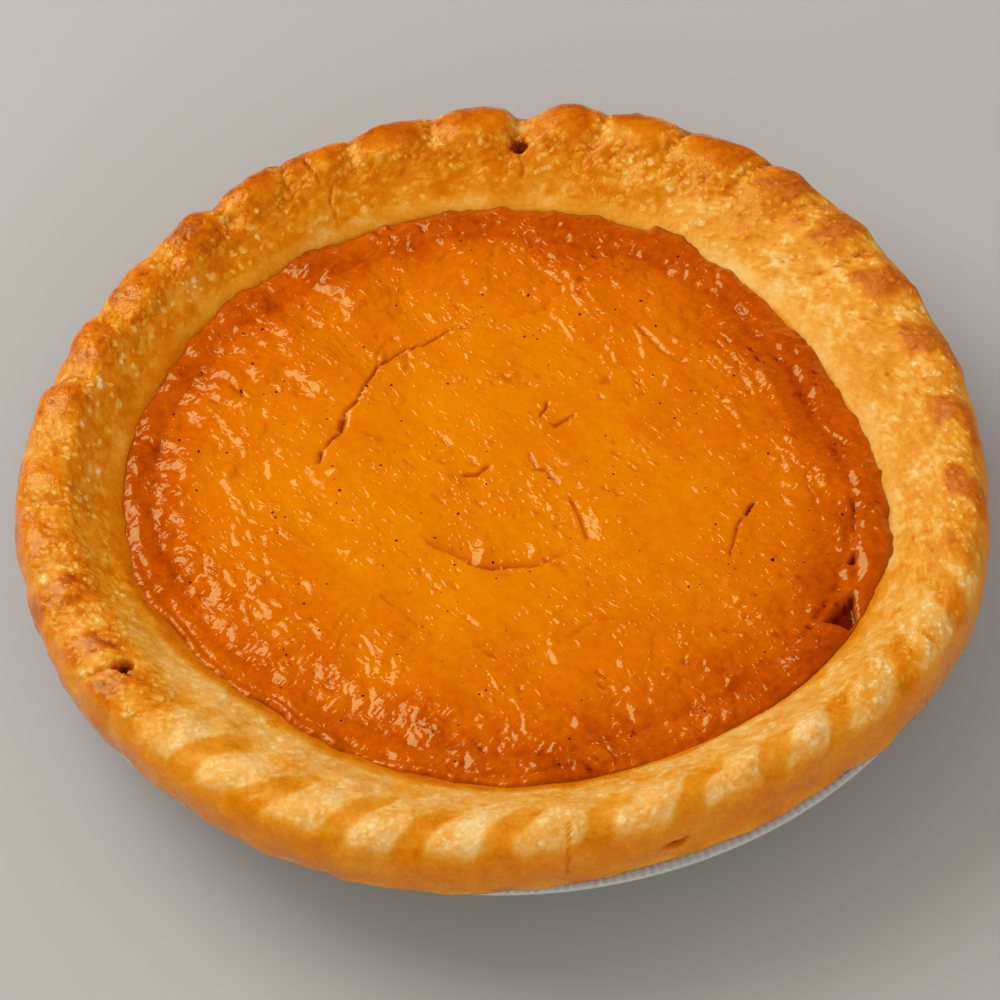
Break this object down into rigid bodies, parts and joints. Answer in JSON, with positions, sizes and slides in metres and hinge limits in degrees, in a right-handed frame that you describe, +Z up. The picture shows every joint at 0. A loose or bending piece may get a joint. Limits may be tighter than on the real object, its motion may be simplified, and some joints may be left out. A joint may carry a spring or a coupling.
{
  "type": "sweet potato pie",
  "caption": "Round baked pie in a thin foil tin: a pastry case with a thick, hand-pinched fluted edge round a glossy orange custard filling.",
  "frame": {"origin": "middle of the tin's flat base, at the height of the surface it stands on", "axes": "+Z up through the middle of the pie, +X to the right and +Y to the back as the pie is seen from its front"},
  "size_m": [0.2292, 0.2352, 0.0464],
  "materials": {
    "foil": "thin pressed foil, finely ribbed along the rolled rim",
    "pastry": "baked shortcrust, pale inside, browned on the flutes, blistered",
    "custard": "glossy baked custard, deeper orange towards the edge, with specks of spice"
  },
  "bodies": {
    "root": {"foil_tin": "foil", "crust": "pastry", "filling": "custard"}
  },
  "joints": []
}
